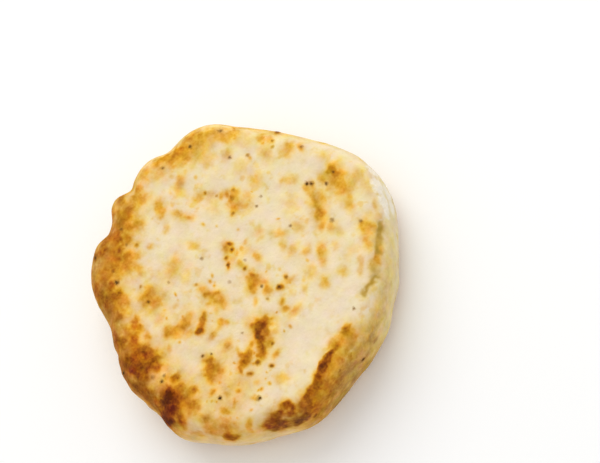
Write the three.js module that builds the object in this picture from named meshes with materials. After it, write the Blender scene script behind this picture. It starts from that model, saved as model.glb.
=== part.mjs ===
// An English muffin: one whole round of yeast bread, browned on a griddle, lying flat.
// Millimetres, +Z up. The origin is on the surface that it rests on, under the middle of its outline.
import * as THREE from "three";
import { mergeVertices } from "three/addons/utils/BufferGeometryUtils.js";

// Driving dimensions
const ROUND_RADIUS = 41.9; // of the dough as it was cut, before its edge swelled
const THICKNESS = 21;
const BELLY_HEIGHT = 0.46 * THICKNESS; // where the side bulges furthest
const FACE_SHOULDER = 6.2; // how far in from the rim the upper face starts to round over
const BASE_SHOULDER = 4.8; // the same at the base, which the griddle pressed flatter
const FULLNESS = 2.25; // 2 makes the side a half ellipse, more makes it fuller and more upright

// The edge swelled in lobes with a crease between them, and in one place it stayed behind.
// Each is [direction in degrees, half width in degrees, how far it stands out in mm].
const LOBES = [
  [349, 21, 4.5],
  [59, 13.4, 3.7],
  [83, 8.6, 2.6],
  [103, 5.2, 2.4],
  [127, 14, 1.7],
  [180, 7, 1.4],
  [203.5, 9.5, 4.6],
  [219, 28, 3.7],
  [249, 13, 3.1],
];
const HOLLOWS = [
  [115, 4.5, -1.7],
  [155, 10, -2.3],
];
const CREASING = 3; // higher makes the creases between lobes sharper
const LOBES_LEFT_AT_BASE = 0.65; // the base kept closer to the round that was cut

// Stretches of the upper rim stand proud of the face, because they rose before the middle did,
// and the shoulder is tighter on one side: both written as the lobes are.
const CRESTS = [
  [262, 24, 0.6],
  [205, 20, 0.35],
  [120, 34, 0.4],
  [20, 26, 0.25],
];
const CREST_WIDTH = 3.2; // across the rim
const TIGHT_SHOULDERS = [[325, 26, -1.8]];
const DISH = 0.5; // how far the middle of the face lies below its rim

// Where the side pulled away from the face, a crease runs along the shoulder.
const CREASE = { direction: 320, halfLength: 18, fromRim: 3.3, halfWidth: 1.5, depth: 0.5 };

const FACE_WAVES = { height: 0.32, longest: 34, offset: 0.6 };
const SIDE_WAVES = { height: 0.25, longest: 24, offset: 2.2 };
const WAVE_COUNT = 6;
const WAVE_SHRINK = 0.8; // of each wave's length and height to the one before
const GOLDEN_ANGLE = Math.PI * (3 - Math.sqrt(5));

// The round is a ball of dough pressed flat: these shares of its surface become the face and edge.
const BALL_DETAIL = 23;
const FACE_SHARE = 0.4;
const EDGE_SHARE = 0.38;

const crust = new THREE.MeshStandardMaterial({
  color: 0xe6cb93,
  roughness: 0.85,
  metalness: 0,
});

// What each entry of a list such as LOBES stands out by in one direction, given in radians.
function heapsAt(direction, heaps) {
  return heaps.map(([at, halfWidth, height]) => {
    const apart = THREE.MathUtils.radToDeg(direction) - at;
    const nearest = THREE.MathUtils.euclideanModulo(apart + 180, 360) - 180;
    return height * Math.exp(-((nearest / halfWidth) ** 2));
  });
}

const total = (values) => values.reduce((sum, value) => sum + value, 0);

// How far the rim stands out beyond the round that was cut.
function swellingAt(direction) {
  const lobes = heapsAt(direction, LOBES).map((height) => height ** CREASING);
  return total(lobes) ** (1 / CREASING) + total(heapsAt(direction, HOLLOWS));
}

// Slow waves that cross in several directions, within about 1 of nought.
function waves(x, y, z, { longest, offset }) {
  let sum = 0;
  for (let k = 0; k < WAVE_COUNT; k++) {
    const turn = GOLDEN_ANGLE * k + offset;
    const size = WAVE_SHRINK ** k;
    const along = x * Math.cos(turn) + y * Math.sin(turn) + z * Math.cos(3 * turn);
    sum += size * Math.sin((2 * Math.PI * along) / (longest * size) + 2 * turn);
  }
  return sum / Math.sqrt(WAVE_COUNT);
}

// A point of the edge's outline. share runs from 0 at the face to 1 at the base;
// out is 0 at either and 1 at the belly, and up runs from 1 to -1.
function edgeOutline(share) {
  const turn = Math.PI * (0.5 - share);
  const [c, s] = [Math.cos(turn), Math.sin(turn)];
  const reach = (Math.abs(c) ** FULLNESS + Math.abs(s) ** FULLNESS) ** (-1 / FULLNESS);
  return { out: c * reach, up: s * reach };
}

// How far the upper face lies above its nominal height, at a distance inside the rim.
function faceRelief(x, y, direction, inside) {
  const fromCrest = (inside - FACE_SHOULDER) / CREST_WIDTH;
  const crest = total(heapsAt(direction, CRESTS)) * Math.exp(-(fromCrest ** 2));
  const fromCrease = (inside - CREASE.fromRim) / CREASE.halfWidth;
  const [along] = heapsAt(direction, [[CREASE.direction, CREASE.halfLength, CREASE.depth]]);
  const crease = along * Math.exp(-(fromCrease ** 2));
  const dish = DISH * THREE.MathUtils.smoothstep(inside, FACE_SHOULDER, ROUND_RADIUS);
  return crest - crease - dish + FACE_WAVES.height * waves(x, y, 0, FACE_WAVES);
}

// Where a point of the unit ball of dough comes to lie.
function pressed(ball) {
  const direction = Math.atan2(ball.y, ball.x);
  const swelling = swellingAt(direction);
  const rim = ROUND_RADIUS + swelling;
  const shoulder = FACE_SHOULDER + total(heapsAt(direction, TIGHT_SHOULDERS));
  const baseRim = ROUND_RADIUS + LOBES_LEFT_AT_BASE * swelling;
  const share = (1 - ball.z) / 2;
  const at = (radius, z) =>
    new THREE.Vector3(radius * Math.cos(direction), radius * Math.sin(direction), z);
  const lift = (p) => faceRelief(p.x, p.y, direction, rim - Math.hypot(p.x, p.y));

  if (share < FACE_SHARE) {
    const p = at((rim - shoulder) * Math.sqrt(share / FACE_SHARE), THICKNESS);
    p.z += lift(p);
    return p;
  }
  if (share > FACE_SHARE + EDGE_SHARE) {
    const baseShare = 1 - FACE_SHARE - EDGE_SHARE;
    return at((baseRim - BASE_SHOULDER) * Math.sqrt((1 - share) / baseShare), 0);
  }
  const { out, up } = edgeOutline((share - FACE_SHARE) / EDGE_SHARE);
  if (up < 0) {
    const edge = THREE.MathUtils.lerp(rim, baseRim, up ** 2);
    return rippled(at(edge - BASE_SHOULDER * (1 - out), BELLY_HEIGHT * (1 + up)), out);
  }
  const p = at(rim - shoulder * (1 - out), THREE.MathUtils.lerp(BELLY_HEIGHT, THICKNESS, up));
  p.z += up * lift(p);
  return rippled(p, out);
}

// Moves a point of the edge in or out by the slow waves of the side, most of all at the belly.
function rippled(p, out) {
  const ripple = SIDE_WAVES.height * out * waves(p.x, p.y, p.z, SIDE_WAVES);
  const radius = Math.hypot(p.x, p.y);
  return p.multiply(new THREE.Vector3(1 + ripple / radius, 1 + ripple / radius, 1));
}

function muffinGeometry() {
  const ball = new THREE.IcosahedronGeometry(1, BALL_DETAIL);
  ball.deleteAttribute("normal");
  ball.deleteAttribute("uv");
  const muffin = mergeVertices(ball, 1e-4);
  const places = muffin.getAttribute("position");
  for (let i = 0; i < places.count; i++) {
    const p = pressed(new THREE.Vector3().fromBufferAttribute(places, i).normalize());
    places.setXYZ(i, p.x, p.y, p.z);
  }
  muffin.computeBoundingBox();
  const middle = muffin.boundingBox.getCenter(new THREE.Vector3());
  muffin.translate(-middle.x, -middle.y, -muffin.boundingBox.min.z);
  muffin.computeVertexNormals();
  return muffin;
}

const englishMuffin = new THREE.Group();
const muffin = new THREE.Mesh(muffinGeometry(), crust);
muffin.name = "muffin";
englishMuffin.add(muffin);

export default englishMuffin;
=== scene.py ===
"""An English muffin: one round of yeast bread, browned on a griddle, lying on a pale floor.

Everything is in metres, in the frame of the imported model. Places on the muffin are written in
millimetres and scaled by MM. Directions round its rim are in degrees, from +X towards +Y.
"""

import math
import random

import bmesh
import bpy
import numpy as np
from mathutils import Matrix, Vector, noise


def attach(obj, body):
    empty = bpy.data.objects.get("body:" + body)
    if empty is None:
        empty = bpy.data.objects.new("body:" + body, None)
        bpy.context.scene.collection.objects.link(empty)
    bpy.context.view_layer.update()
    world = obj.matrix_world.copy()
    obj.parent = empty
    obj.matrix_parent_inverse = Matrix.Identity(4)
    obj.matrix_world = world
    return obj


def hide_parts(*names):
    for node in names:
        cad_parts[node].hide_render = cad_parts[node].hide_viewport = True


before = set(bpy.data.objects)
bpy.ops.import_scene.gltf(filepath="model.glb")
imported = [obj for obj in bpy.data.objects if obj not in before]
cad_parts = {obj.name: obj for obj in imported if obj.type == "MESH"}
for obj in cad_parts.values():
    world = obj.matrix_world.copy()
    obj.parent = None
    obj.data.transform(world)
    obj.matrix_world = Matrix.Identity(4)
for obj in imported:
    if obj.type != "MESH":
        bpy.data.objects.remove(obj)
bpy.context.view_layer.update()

MM = 0.001

# ---------------------------------------------------------------- where the crust is browned
# Each spot is (x, y, half length, half width, turn in degrees, how brown), on the upper face.
# How brown runs from 0.2, a pale yellow bloom, to 0.5, golden, 0.8, brown, and 1.1, nearly burnt.
RIM_SPOTS = [
    (-34.8, 3.0, 9.0, 3.6, 97, 0.66), (-30.7, 20.0, 8.0, 4.0, 76, 0.66),
    (-23.5, 27.2, 6.5, 4.4, 35, 0.62), (-14.0, 32.0, 7.0, 3.8, 25, 0.58),
    (-19.6, 23.6, 3.8, 2.4, 40, 0.60), (-27.8, 17.0, 2.4, 1.6, 50, 0.60),
    (-29.4, 10.4, 1.5, 1.2, 0, 0.70), (13.0, 33.8, 9.0, 3.2, 165, 0.46),
    (24.6, 27.2, 4.6, 2.6, 125, 0.38), (-35.4, -14.4, 7.5, 4.6, 100, 0.50),
    (-36.4, -5.4, 4.4, 2.6, 90, 0.34), (-33.0, 9.0, 2.6, 1.8, 80, 0.60),
    (-28.2, 15.4, 1.6, 1.2, 60, 0.46), (-23.4, 22.6, 2.4, 1.4, 10, 0.52),
    (-17.0, 23.2, 1.8, 1.5, 60, 0.52), (-12.6, 37.6, 2.6, 1.6, 30, 0.62),
    (4.2, 35.2, 2.6, 1.6, 0, 0.44), (-31.4, 22.2, 3.4, 1.8, 80, 0.78),
    (-28.8, 19.8, 2.6, 1.5, 160, 0.76), (-27.4, 18.8, 1.3, 1.1, 0, 0.78),
    (-31.5, 16.4, 2.6, 2.0, 60, 0.66), (-29.0, 17.0, 2.0, 1.4, 60, 0.56),
    (-31.0, 25.4, 2.6, 1.8, 60, 0.70), (-27.2, 22.2, 2.0, 1.0, 20, 0.80),
    (-27.0, 24.6, 2.6, 1.8, 20, 0.66), (-26.0, 28.2, 3.4, 2.4, 40, 0.46),
    (-29.8, 27.4, 2.0, 1.2, 50, 0.44), (-24.8, 32.0, 1.4, 1.0, 40, 0.88),
    (-22.2, 31.4, 2.4, 1.4, 160, 0.86), (-24.0, 24.8, 0.9, 0.6, 0, 0.78),
    (-22.2, 24.2, 2.6, 1.8, 20, 0.56), (-20.4, 27.4, 3.2, 2.4, 30, 0.72),
    (-19.0, 27.8, 0.9, 0.6, 30, 0.80), (-18.3, 24.8, 1.8, 1.3, 30, 0.66),
    (-18.8, 20.6, 2.6, 1.3, 85, 0.50), (-17.0, 30.6, 3.4, 2.0, 30, 0.78),
    (-19.2, 32.8, 2.8, 1.6, 30, 0.74), (-14.8, 28.4, 2.0, 1.6, 60, 0.66),
    (-12.4, 30.4, 2.2, 1.4, 150, 0.66), (-9.8, 29.6, 2.4, 2.0, 40, 0.56),
    (-12.0, 33.6, 3.6, 3.0, 30, 0.66), (-8.4, 34.2, 2.4, 2.2, 0, 0.64),
    (-8.6, 38.0, 2.6, 2.0, 80, 0.70), (-4.6, 34.2, 2.2, 2.4, 0, 0.56),
    (-2.6, 36.4, 1.8, 1.6, 0, 0.58), (1.2, 38.0, 2.8, 2.0, 0, 0.50),
    (7.0, 37.4, 2.6, 1.6, 160, 0.64), (8.0, 33.2, 1.0, 0.8, 0, 0.46),
    (9.6, 35.4, 2.6, 1.8, 150, 0.58), (12.2, 35.2, 2.6, 1.8, 170, 0.72),
    (12.6, 32.8, 2.8, 1.6, 170, 0.60), (17.6, 35.6, 2.8, 1.8, 160, 0.60),
    (17.4, 32.6, 2.8, 1.8, 160, 0.54), (19.2, 33.5, 1.3, 1.0, 0, 0.74),
    (21.4, 31.8, 2.4, 1.6, 140, 0.56), (22.8, 28.4, 2.8, 1.6, 110, 0.50),
    (25.0, 27.4, 1.4, 1.0, 20, 0.60), (27.0, 28.2, 1.4, 0.5, 60, 0.56),
    (26.4, 26.4, 1.6, 1.2, 40, 0.50), (-32.0, 14.2, 2.6, 1.2, 0, 0.58),
    (-36.0, 11.6, 2.6, 1.1, 80, 0.58), (-36.6, 9.2, 2.6, 1.8, 80, 0.77),
    (-30.6, 8.4, 2.2, 1.5, 60, 0.72), (-33.3, 6.3, 1.8, 1.5, 20, 0.80),
    (-30.0, 4.4, 1.3, 0.9, 90, 0.62), (-38.2, 2.6, 4.4, 3.2, 110, 0.88),
    (-39.0, -0.8, 2.4, 2.0, 30, 0.90), (-33.4, 0.2, 2.8, 2.2, 110, 0.88),
    (-35.7, -2.0, 2.2, 1.8, 0, 0.86), (-34.6, 2.5, 2.4, 1.8, 100, 0.84),
    (-33.2, -2.3, 2.0, 1.6, 20, 0.86), (-34.2, -3.9, 1.6, 1.2, 20, 0.78),
    (-41.6, -4.6, 4.6, 1.8, 100, 0.76), (-40.0, -6.6, 2.6, 1.2, 110, 0.68),
    (-34.4, -8.0, 1.3, 0.9, 0, 0.62), (-39.4, -13.4, 4.3, 2.9, 48, 1.08),
    (-37.0, -13.6, 2.2, 1.8, 0, 0.98), (-35.2, -24.4, 2.2, 1.4, 0, 0.50),
    (-42.4, -14.6, 3.2, 1.6, 85, 0.92), (-37.8, -3.0, 2.4, 1.6, 10, 0.86),
    (-37.1, -12.2, 1.8, 1.6, 40, 1.00), (-40.4, -11.8, 1.6, 1.4, 0, 0.92),
    (-40.8, -10.2, 1.6, 1.2, 90, 0.84), (-35.0, -16.6, 3.0, 1.8, 60, 0.66),
    (-36.2, -14.6, 1.8, 1.6, 0, 0.84), (-38.9, -17.2, 3.2, 2.2, 50, 0.82),
    (-39.9, -19.0, 1.6, 1.0, 60, 0.88), (-32.9, -9.9, 1.8, 0.9, 0, 0.82),
    (-34.0, -12.6, 2.4, 1.8, 50, 0.76), (-32.2, -15.8, 1.9, 1.5, 30, 0.78),
    (-35.0, -18.9, 2.4, 1.0, 10, 0.74), (-35.6, -22.8, 2.2, 1.2, 100, 0.46),
    (-36.0, -26.2, 2.0, 1.2, 120, 0.46), (-35.4, -24.1, 1.4, 1.0, 120, 0.58),
    (-33.8, -27.4, 1.6, 1.0, 60, 0.42), (-34.4, -20.5, 1.8, 1.1, 20, 0.56),
    (-33.4, -28.2, 1.1, 0.8, 20, 0.52), (-33.0, -30.0, 1.8, 1.3, 20, 0.56),
    (-28.4, -33.3, 1.6, 0.9, 20, 0.60), (-33.2, -28.2, 5.0, 2.4, 130, 0.44),
    (25.0, 30.4, 2.2, 1.3, 130, 0.44), (20.6, 29.8, 2.2, 1.4, 150, 0.40),
    (28.4, 27.6, 1.6, 0.9, 130, 0.42),
]
# The same along the crest of the rim that the viewer sees most of.
CREST_SPOTS = [
    (-20.4, -37.4, 1.8, 1.0, 150, 0.84), (-18.0, -37.2, 1.3, 0.8, 150, 0.96),
    (-17.0, -38.2, 1.5, 0.7, 100, 0.94), (7.6, -37.0, 2.0, 1.4, 0, 0.50),
    (7.8, -35.8, 1.3, 1.0, 40, 0.70), (5.4, -36.5, 2.4, 1.0, 15, 0.54),
    (2.4, -37.0, 1.6, 0.9, 15, 0.66), (9.4, -38.4, 2.4, 1.6, 20, 0.38),
    (-14.8, -40.0, 2.3, 1.2, 20, 0.72), (-22.0, -36.2, 1.4, 0.9, 150, 0.74),
    (-1.6, -37.3, 1.3, 0.8, 0, 1.00), (-0.4, -37.3, 1.4, 1.0, 5, 0.92),
    (-3.0, -37.3, 1.6, 0.7, 15, 0.82), (-6.2, -38.5, 1.3, 0.7, 30, 0.98),
    (-7.2, -38.4, 1.5, 0.8, 30, 0.86), (-12.4, -40.0, 1.3, 0.8, 20, 0.84),
    (-10.8, -39.4, 1.3, 0.8, 20, 0.84), (-17.8, -39.2, 1.6, 1.1, 10, 0.86),
    (2.4, -35.0, 2.6, 0.9, 5, 0.54), (6.8, -35.6, 1.6, 1.1, 10, 0.76),
]
# Longer streaks along the crest of the rim: how brown, half width, and the line each follows.
ORANGE_LINE = [
    (6.4, -37.4), (3.1, -38.5), (-0.1, -39.3), (-4.4, -40.2), (-7.3, -40.9), (-10.2, -41.4),
    (-14.0, -42.2),
]
STREAKS = [
    (0.86, 1.15, [(0.9, -36.9), (-1.5, -37.1), (-3.2, -37.4), (-4.8, -37.9)]),
    (0.71, 1.3, [(-4.8, -38.1), (-6.4, -38.7), (-8.0, -39.5), (-10.2, -40.1), (-12.6, -40.4)]),
    (0.55, 2.0, ORANGE_LINE[:3]),
    (0.59, 2.3, ORANGE_LINE[2:5]),
    (0.68, 2.3, ORANGE_LINE[4:]),
    (0.58, 1.2, [(8.2, -35.2), (5.6, -35.6), (3.4, -36.2), (1.2, -36.7)]),
]
# Browned places on the side, as balls: (x, y, z, radius, how brown).
SIDE_SPOTS = [
    (-23.2, -38.2, 16.8, 4.2, 0.90), (-33.0, -30.2, 18.2, 3.8, 0.46),
    (-39.8, -23.6, 16.6, 2.0, 0.46), (-14.4, -41.6, 18.0, 2.6, 0.74),
    (-16.6, -42.2, 16.2, 2.0, 0.86), (-18.8, -41.8, 15.4, 1.8, 0.80),
    (-42.2, -15.8, 18.8, 2.8, 1.00), (-34.4, -31.4, 16.6, 2.6, 0.84),
    (-36.4, -26.2, 18.6, 2.6, 0.48), (-19.0, -41.0, 16.0, 2.5, 0.80),
    (-15.0, -41.2, 19.0, 2.0, 0.70), (-12.2, -42.2, 17.9, 1.5, 0.74),
    (-8.4, -42.0, 18.4, 1.2, 0.68), (-4.4, -41.4, 18.6, 1.2, 0.66),
    (2.8, -40.7, 18.2, 1.1, 0.66), (0.8, -40.6, 19.0, 0.9, 0.64),
    (-1.6, -41.1, 18.2, 0.7, 0.70), (-4.4, -42.6, 13.8, 0.6, 0.64),
    (-11.1, -43.4, 13.5, 0.6, 0.62), (-14.8, -43.2, 14.1, 0.9, 0.84),
    (10.8, -40.4, 12.8, 1.7, 0.52),
]
# Spots inside the rim, written as the ones on it are.
FACE_SPOTS = [
    (8.0, 17.4, 3.0, 2.0, 60, 0.28), (15.6, 26.6, 2.6, 2.0, 0, 0.32),
    (15.4, 10.6, 1.8, 1.4, 60, 0.38), (-4.2, 12.6, 2.0, 1.2, 130, 0.42),
    (-11.4, 8.6, 2.6, 1.8, 30, 0.30), (35.1, 9.5, 1.3, 0.9, 60, 0.56),
    (28.6, -5.0, 3.2, 1.4, 60, 0.46), (29.6, -1.2, 1.4, 1.0, 50, 0.46),
    (-23.4, -16.8, 2.0, 1.4, 70, 0.60), (-13.6, -19.6, 1.6, 1.0, 20, 0.44),
    (-6.0, -21.0, 1.4, 1.0, 0, 0.42), (0.2, 1.6, 1.6, 1.2, 40, 0.36),
    (-12.4, -4.8, 1.4, 1.0, 60, 0.34), (24.4, -28.6, 2.2, 1.1, 45, 0.40),
    (26.3, -28.1, 1.4, 0.9, 40, 0.64), (36.6, -4.4, 2.0, 1.5, 90, 0.56),
    (28.0, 15.8, 2.4, 1.8, 60, 0.38), (26.8, 22.2, 2.6, 2.0, 60, 0.24),
    (-22.8, 11.4, 2.8, 2.3, 120, 0.62), (-22.2, 9.2, 3.2, 1.4, 0, 0.54),
    (-20.6, 12.2, 2.2, 1.8, 100, 0.52), (-12.8, 12.4, 3.6, 2.6, 20, 0.38),
    (-10.4, 13.8, 1.8, 1.4, 20, 0.44), (-21.9, 15.7, 0.8, 0.5, 20, 0.46),
    (-12.0, 22.0, 1.0, 0.8, 0, 0.42), (-14.4, 25.3, 0.9, 0.7, 0, 0.58),
    (-5.6, 22.3, 1.5, 0.9, 45, 0.34), (-2.8, 27.8, 2.4, 1.5, 70, 0.55),
    (-4.1, 25.7, 1.0, 0.7, 0, 0.48), (-0.7, 22.3, 2.4, 1.1, 105, 0.46),
    (0.8, 19.6, 1.5, 1.0, 140, 0.52), (0.1, 25.8, 0.7, 0.5, 60, 0.36),
    (6.4, 28.7, 1.8, 1.3, 30, 0.50), (4.5, 27.2, 1.7, 1.4, 60, 0.42),
    (9.3, 29.5, 0.9, 0.5, 30, 0.36), (16.0, 29.4, 4.2, 1.8, 0, 0.38),
    (5.7, 31.6, 0.8, 0.6, 120, 0.36), (6.6, 21.4, 1.9, 1.1, 5, 0.50),
    (8.7, 20.9, 0.6, 0.5, 0, 0.60), (9.6, 19.4, 1.4, 0.9, 130, 0.36),
    (10.2, 17.9, 0.5, 0.4, 0, 0.46), (11.2, 16.8, 1.1, 0.8, 30, 0.50),
    (12.6, 15.8, 1.0, 0.9, 0, 0.62), (14.3, 15.2, 0.9, 0.6, 20, 0.60),
    (12.4, 13.9, 1.2, 0.8, 30, 0.68), (13.8, 13.8, 1.6, 1.2, 0, 0.50),
    (10.9, 11.9, 2.0, 1.4, 60, 0.54), (9.6, 10.8, 0.8, 0.6, 0, 0.64),
    (13.2, 9.4, 1.6, 1.2, 140, 0.46), (12.6, 11.6, 2.2, 1.6, 40, 0.42),
    (20.5, 23.6, 1.6, 1.0, 0, 0.38), (23.9, 19.1, 0.6, 0.5, 0, 0.46),
    (20.6, 12.7, 2.0, 1.8, 60, 0.44), (30.0, 19.8, 1.6, 1.4, 60, 0.52),
    (31.0, 17.6, 1.6, 1.0, 60, 0.42), (31.4, 16.7, 0.9, 0.6, 60, 0.60),
    (29.2, 18.2, 0.5, 0.4, 0, 0.56), (30.2, 15.2, 0.7, 0.5, 0, 0.50),
    (34.4, 19.0, 1.2, 0.7, 60, 1.00), (32.6, 11.6, 2.2, 1.5, 15, 0.48),
    (31.8, 11.0, 1.6, 1.2, 0, 0.40), (32.0, -4.6, 1.4, 1.0, 0, 0.42),
    (21.0, -31.5, 2.2, 0.8, 10, 0.36), (39.2, -11.8, 2.6, 1.6, 60, 0.30),
    (25.0, 6.5, 1.0, 0.6, 30, 0.42), (26.3, 5.1, 2.2, 1.3, 130, 0.38),
    (22.4, 0.2, 3.2, 2.0, 20, 0.27), (28.0, -0.4, 1.5, 1.1, 50, 0.52),
    (37.6, 2.8, 1.4, 1.2, 0, 0.30), (40.2, 7.2, 1.6, 0.8, 110, 0.34),
    (27.8, -2.9, 2.2, 1.3, 60, 0.52), (26.2, -5.6, 2.4, 1.7, 60, 0.54),
    (25.0, -7.8, 2.0, 1.5, 60, 0.66), (23.2, -10.4, 1.3, 1.0, 30, 0.60),
    (24.6, -12.8, 1.8, 1.4, 80, 0.42), (25.2, -15.4, 1.6, 1.0, 80, 0.32),
    (36.2, -1.6, 2.0, 1.3, 5, 0.74), (36.4, -3.4, 1.8, 1.4, 90, 0.70),
    (35.2, -6.6, 3.2, 1.8, 70, 0.58), (32.8, -11.4, 2.4, 1.2, 60, 0.46),
    (26.4, -6.4, 4.6, 1.4, 65, 0.50), (32.8, -1.8, 1.6, 1.2, 80, 0.54),
    (34.4, -4.8, 2.6, 2.0, 90, 0.54), (33.6, -7.4, 2.2, 1.8, 60, 0.52),
    (37.4, -8.4, 3.4, 1.8, 20, 0.42), (40.6, -8.8, 1.5, 0.5, 55, 0.36),
    (32.1, -12.3, 1.5, 1.2, 80, 0.44), (30.1, -19.2, 1.3, 1.0, 70, 0.58),
    (31.2, -20.4, 2.6, 1.8, 60, 0.50), (28.4, -23.4, 2.6, 1.6, 40, 0.38),
    (26.9, -18.9, 0.7, 0.5, 0, 0.26), (36.7, -17.3, 1.5, 0.7, 50, 0.38),
    (1.6, 5.6, 1.7, 1.0, 60, 0.58), (3.0, 5.6, 0.9, 0.6, 100, 0.80),
    (2.3, 3.8, 0.8, 0.6, 40, 0.78), (-0.3, 3.2, 0.7, 0.6, 0, 0.78),
    (-1.4, 1.5, 0.9, 0.5, 45, 0.84), (-0.9, 2.4, 1.3, 1.0, 50, 0.40),
    (2.4, 2.0, 1.6, 0.9, 20, 0.42), (4.3, 2.0, 0.8, 0.6, 60, 0.52),
    (6.2, 2.6, 0.9, 0.5, 20, 0.40), (10.8, 1.8, 1.6, 1.4, 60, 0.36),
    (9.4, -0.1, 1.3, 0.8, 0, 0.30), (5.5, -3.0, 1.7, 1.0, 85, 0.50),
    (14.2, -3.5, 1.8, 1.2, 120, 0.46), (13.2, -1.8, 1.3, 0.9, 120, 0.36),
    (18.7, -6.0, 2.0, 1.3, 130, 0.36), (12.6, -6.2, 1.7, 1.1, 60, 0.36),
    (13.2, -9.2, 1.9, 1.1, 10, 0.40), (15.6, -12.1, 1.4, 1.1, 20, 0.44),
    (18.0, -15.4, 2.2, 1.1, 45, 0.58), (16.3, -17.5, 1.6, 1.1, 40, 0.42),
    (12.2, -17.3, 2.1, 1.6, 70, 0.36), (7.8, -19.1, 1.0, 0.8, 20, 0.38),
    (12.8, -22.0, 1.5, 1.2, 40, 0.50), (17.9, -23.8, 1.2, 1.1, 0, 0.46),
    (9.3, -17.5, 0.6, 0.5, 0, 0.36), (6.5, -14.2, 1.8, 0.8, 160, 0.44),
    (6.7, -13.0, 0.9, 0.6, 60, 0.64), (3.6, -13.6, 0.9, 0.7, 160, 0.84),
    (1.2, -17.1, 1.3, 0.7, 35, 0.60), (0.5, -19.2, 1.1, 0.8, 150, 0.60),
    (1.8, -21.3, 2.0, 1.1, 10, 0.48), (23.3, -25.3, 1.4, 0.8, 45, 0.34),
    (21.0, -27.2, 1.3, 0.8, 45, 0.34), (22.3, -26.3, 1.2, 0.7, 45, 0.34),
    (-3.4, -11.2, 1.4, 0.7, 40, 0.46), (-0.8, -13.3, 0.8, 0.5, 80, 0.38),
    (0.2, -6.8, 2.4, 1.7, 40, 0.62), (-1.2, -8.2, 1.5, 1.1, 60, 0.62),
    (0.9, -5.6, 1.2, 0.8, 60, 0.66), (1.6, -8.8, 1.8, 1.5, 90, 0.52),
    (1.0, -11.4, 1.3, 1.2, 60, 0.62), (1.0, -2.8, 0.8, 0.7, 0, 0.64),
    (0.9, -1.2, 1.4, 0.9, 90, 0.48), (-6.4, -7.7, 1.0, 0.8, 0, 0.26),
    (-11.1, 4.2, 0.9, 0.5, 130, 0.46), (-11.1, 1.9, 1.3, 1.2, 80, 0.48),
    (-11.1, 0.3, 1.1, 0.9, 0, 0.66), (-10.8, -0.9, 1.2, 1.0, 100, 0.64),
    (-9.3, -1.6, 1.3, 0.8, 130, 0.64), (-10.0, -3.6, 2.4, 1.6, 100, 0.56),
    (-25.5, 0.5, 1.9, 1.5, 20, 0.60), (-23.6, -0.8, 2.6, 1.6, 170, 0.60),
    (-19.2, -0.2, 2.0, 1.2, 170, 0.54), (-12.2, -1.6, 1.6, 1.0, 0, 0.48),
    (-20.6, -1.0, 2.6, 1.6, 170, 0.53), (-28.5, -2.8, 1.3, 0.9, 30, 0.42),
    (-24.2, 5.4, 2.6, 1.3, 10, 0.36), (-22.0, 5.9, 0.6, 0.4, 150, 0.42),
    (-19.0, 4.6, 1.2, 0.8, 0, 0.30), (-19.2, -5.5, 1.3, 0.9, 130, 0.88),
    (-17.6, -4.6, 1.8, 1.2, 30, 0.70), (-16.0, -3.4, 1.6, 0.8, 50, 0.72),
    (-17.8, -9.0, 1.6, 1.1, 10, 0.50), (-13.9, -8.3, 1.2, 0.8, 60, 0.54),
    (-12.9, -9.5, 1.0, 0.7, 120, 0.54), (-15.6, -8.8, 1.2, 0.7, 0, 0.38),
    (-17.0, -14.1, 1.6, 1.0, 20, 0.56), (-17.8, -14.6, 2.2, 1.8, 20, 0.38),
    (-16.0, -17.1, 1.1, 0.7, 60, 0.54), (-12.4, -19.0, 1.0, 0.7, 50, 0.62),
    (-24.3, -15.0, 2.6, 2.0, 60, 0.77), (-26.0, -17.0, 1.8, 1.2, 30, 0.64),
    (-22.9, -13.3, 1.1, 0.9, 0, 0.58), (-28.8, -20.3, 1.2, 1.1, 0, 0.62),
    (-29.7, -26.2, 1.2, 1.4, 30, 0.60), (-26.6, -26.5, 1.5, 0.5, 45, 0.52),
    (-23.8, -25.1, 0.8, 0.6, 0, 0.60), (-22.3, -24.0, 0.6, 0.4, 30, 0.44),
    (-26.6, -23.4, 1.2, 0.8, 120, 0.42), (-22.0, -29.8, 1.3, 0.7, 130, 0.48),
    (-19.5, -22.0, 1.3, 0.6, 70, 0.68), (-18.5, -24.4, 1.0, 0.7, 140, 0.74),
    (-14.7, -23.9, 0.9, 0.8, 60, 0.90), (-17.0, -20.8, 2.2, 1.1, 10, 0.80),
    (-14.8, -20.1, 1.5, 1.1, 20, 0.82), (-18.6, -21.2, 0.9, 0.8, 0, 0.70),
    (-16.2, -19.0, 1.4, 0.9, 100, 0.64), (-7.9, -16.8, 2.3, 1.8, 70, 0.85),
    (-9.6, -18.8, 1.9, 1.2, 55, 1.08), (-9.2, -20.3, 1.6, 0.9, 60, 0.86),
    (-8.4, -15.4, 1.0, 0.8, 0, 0.76), (-5.9, -17.3, 2.0, 1.6, 137, 0.76),
    (-7.2, -18.0, 1.4, 1.2, 0, 0.84), (-7.0, -19.2, 2.0, 1.2, 60, 0.76),
    (-10.6, -21.3, 2.0, 1.2, 55, 0.86), (-12.3, -23.0, 1.5, 1.0, 60, 0.80),
    (-13.3, -22.4, 0.8, 0.6, 0, 0.66), (-8.8, -22.2, 1.4, 0.9, 20, 0.60),
    (-8.5, -23.1, 0.6, 0.4, 0, 0.74), (-9.8, -25.8, 1.4, 0.7, 15, 0.54),
    (-12.9, -27.2, 0.7, 0.5, 140, 0.70), (-13.3, -31.7, 2.0, 1.4, 135, 0.42),
    (-5.0, -20.9, 1.4, 1.0, 0, 0.30), (-19.0, -27.2, 1.0, 0.8, 0, 0.38),
    (-26.0, -24.4, 6.5, 5.0, 20, 0.33), (-18.0, -25.0, 5.0, 4.0, 0, 0.20),
    (-23.6, 8.6, 6.5, 4.2, 100, 0.24), (-18.0, -5.0, 8.0, 4.5, 0, 0.20),
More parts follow.
